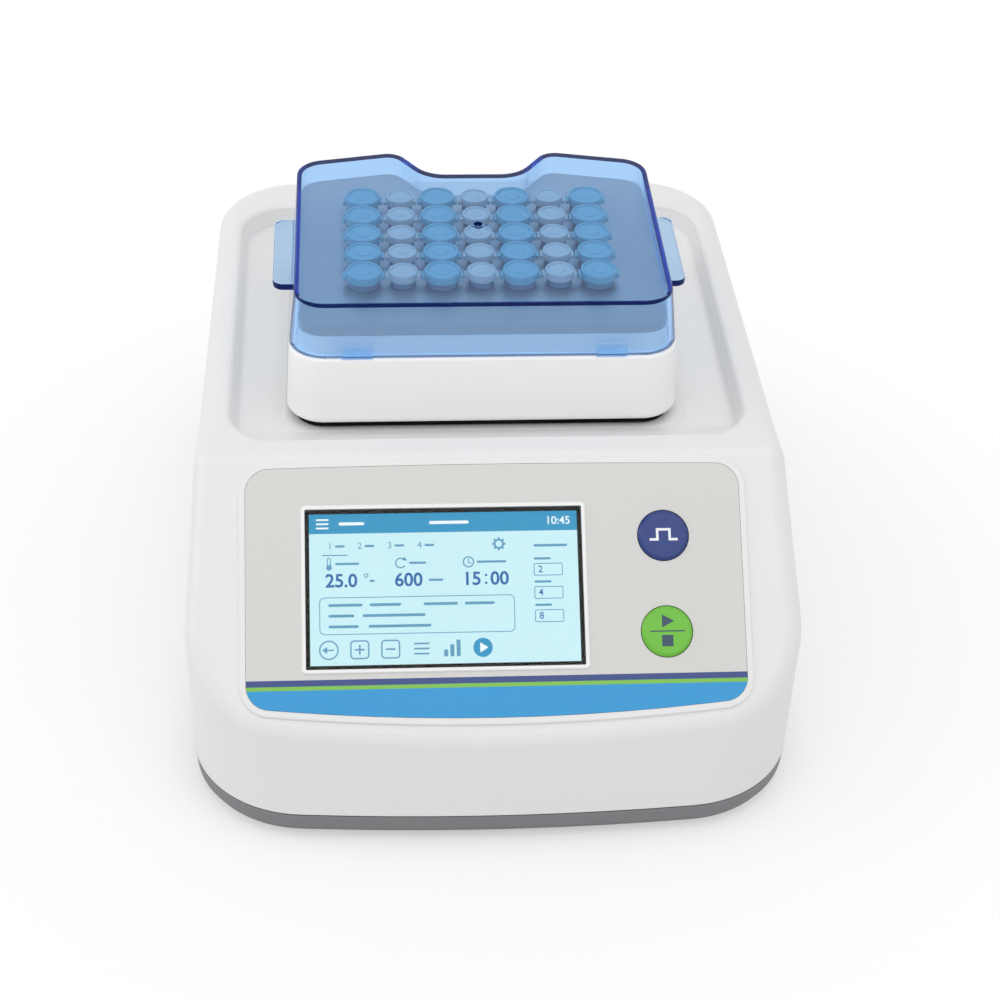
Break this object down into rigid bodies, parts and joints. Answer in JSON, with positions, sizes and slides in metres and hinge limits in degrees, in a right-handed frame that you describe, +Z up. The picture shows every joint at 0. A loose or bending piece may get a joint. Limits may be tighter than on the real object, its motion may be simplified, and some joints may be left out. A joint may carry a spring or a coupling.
{
  "type": "dry block heater",
  "caption": "Bench dry block heater and shaker: sloping touch-screen panel, sunk well, metal tube block on an orbiting table, clear lift-off lid.",
  "frame": {"origin": "on the bench, under the middle of the housing", "axes": "+X to the user's right, +Y to the rear, +Z up"},
  "size_m": [0.2188, 0.2878, 0.1554],
  "materials": {
    "upper_housing": "fine moulded texture",
    "base_pan": "fine moulded texture",
    "rubber_feet": "matte",
    "base_screws": "zinc plated",
    "control_overlay": "printed film, satin",
    "screen_bezel": "satin",
    "touch_glass": "polished, black printed edge",
    "display_module": "lit pane in a metal frame",
    "display_board": "solder resist",
    "key_switches": "matte",
    "pulse_key": "satin",
    "start_stop_key": "satin",
    "main_board": "solder resist",
    "power_supply": "solder resist and wound core",
    "mains_inlet": "black, nickel pins",
    "fuse_drawer": "black",
    "switch_body": "black",
    "power_rocker": "black gloss",
    "fan_frame": "black",
    "fan_rotor": "black",
    "drive_motor": "plated can",
    "drive_frame": "milled",
    "eccentric_shaft": "turned and ground",
    "counterweight": "sawn and turned",
    "left_idler": "turned and ground",
    "right_idler": "turned and ground",
    "rear_idler": "turned and ground",
    "crank_bearing": "ground",
    "idler_bearings": "ground",
    "orbit_table": "milled",
    "table_posts": "turned",
    "heat_sink": "extruded",
    "clamp_screws": "plain",
    "peltier_modules": "ceramic faces",
    "insulation_frame": "closed-cell foam",
    "heating_plate": "milled",
    "plate_sensor": "plain",
    "tube_block": "anodised",
    "block_insulation": "closed-cell foam",
    "block_cover": "satin",
    "block_skirt": "black",
    "large_tubes": "polypropylene, blue caps",
    "small_tubes": "polypropylene, clear",
    "lid": "clear blue acrylic"
  },
  "bodies": {
    "housing": {"upper_housing": "upper_housing", "base_pan": "base_pan", "rubber_feet": "rubber_feet", "base_screws": "base_screws", "control_overlay": "control_overlay", "screen_bezel": "screen_bezel", "touch_glass": "touch_glass", "display_module": "display_module", "display_board": "display_board", "key_switches": "key_switches", "main_board": "main_board", "power_supply": "power_supply", "mains_inlet": "mains_inlet", "switch_body": "switch_body", "fan_frame": "fan_frame", "drive_motor": "drive_motor", "drive_frame": "drive_frame"},
    "drive": {"eccentric_shaft": "eccentric_shaft", "counterweight": "counterweight"},
    "left_idler_body": {"left_idler": "left_idler"},
    "right_idler_body": {"right_idler": "right_idler"},
    "rear_idler_body": {"rear_idler": "rear_idler"},
    "shaken_block": {"crank_bearing": "crank_bearing", "idler_bearings": "idler_bearings", "orbit_table": "orbit_table", "table_posts": "table_posts", "heat_sink": "heat_sink", "clamp_screws": "clamp_screws", "peltier_modules": "peltier_modules", "insulation_frame": "insulation_frame", "heating_plate": "heating_plate", "plate_sensor": "plate_sensor", "tube_block": "tube_block", "block_insulation": "block_insulation", "block_cover": "block_cover", "block_skirt": "block_skirt", "large_tubes": "large_tubes", "small_tubes": "small_tubes"},
    "lid_body": {"lid": "lid"},
    "pulse_key_body": {"pulse_key": "pulse_key"},
    "start_stop_key_body": {"start_stop_key": "start_stop_key"},
    "rocker": {"power_rocker": "power_rocker"},
    "fuse_drawer_body": {"fuse_drawer": "fuse_drawer"},
    "fan": {"fan_rotor": "fan_rotor"}
  },
  "joints": [
    {"name": "drive_turn", "type": "hinge", "parent": "housing", "child": "drive", "pos_m": [0, 0.02595, 0.05], "axis": [0, 0, 1], "continuous": true},
    {"name": "block_orbit", "type": "hinge", "parent": "drive", "child": "shaken_block", "pos_m": [-0.0015, 0.02595, 0.06], "axis": [0, 0, 1], "continuous": true},
    {"name": "left_idler_turn", "type": "hinge", "parent": "housing", "child": "left_idler_body", "pos_m": [-0.046, -0.00505, 0.05], "axis": [0, 0, 1], "continuous": true},
    {"name": "right_idler_turn", "type": "hinge", "parent": "housing", "child": "right_idler_body", "pos_m": [0.046, -0.00505, 0.05], "axis": [0, 0, 1], "continuous": true},
    {"name": "rear_idler_turn", "type": "hinge", "parent": "housing", "child": "rear_idler_body", "pos_m": [0, 0.05895, 0.05], "axis": [0, 0, 1], "continuous": true},
    {"name": "lid_lift", "type": "slide", "parent": "shaken_block", "child": "lid_body", "axis": [0, 0, 1], "range_m": [0, 0.06]},
    {"name": "pulse_key_press", "type": "slide", "parent": "housing", "child": "pulse_key_body", "axis": [0, 0.6691, -0.7431], "range_m": [0, 0.0007], "stiffness_N_per_m": 600},
    {"name": "start_stop_key_press", "type": "slide", "parent": "housing", "child": "start_stop_key_body", "axis": [0, 0.6691, -0.7431], "range_m": [0, 0.0007], "stiffness_N_per_m": 600},
    {"name": "power_rocker_tilt", "type": "hinge", "parent": "housing", "child": "rocker", "pos_m": [-0.016, 0.13925, 0.038], "axis": [-1, 0, 0], "range_deg": [0, 20]},
    {"name": "fuse_drawer_slide", "type": "slide", "parent": "housing", "child": "fuse_drawer_body", "axis": [0, 1, 0], "range_m": [0, 0.014]},
    {"name": "fan_turn", "type": "hinge", "parent": "housing", "child": "fan", "pos_m": [0.038, 0.13025, 0.05], "axis": [0, 1, 0], "continuous": true}
  ],
  "couplings": [
    {"joint": "drive_turn", "follows": "block_orbit", "ratio": -1},
    {"joint": "left_idler_turn", "follows": "block_orbit", "ratio": -1},
    {"joint": "right_idler_turn", "follows": "block_orbit", "ratio": -1},
    {"joint": "rear_idler_turn", "follows": "block_orbit", "ratio": -1}
  ]
}
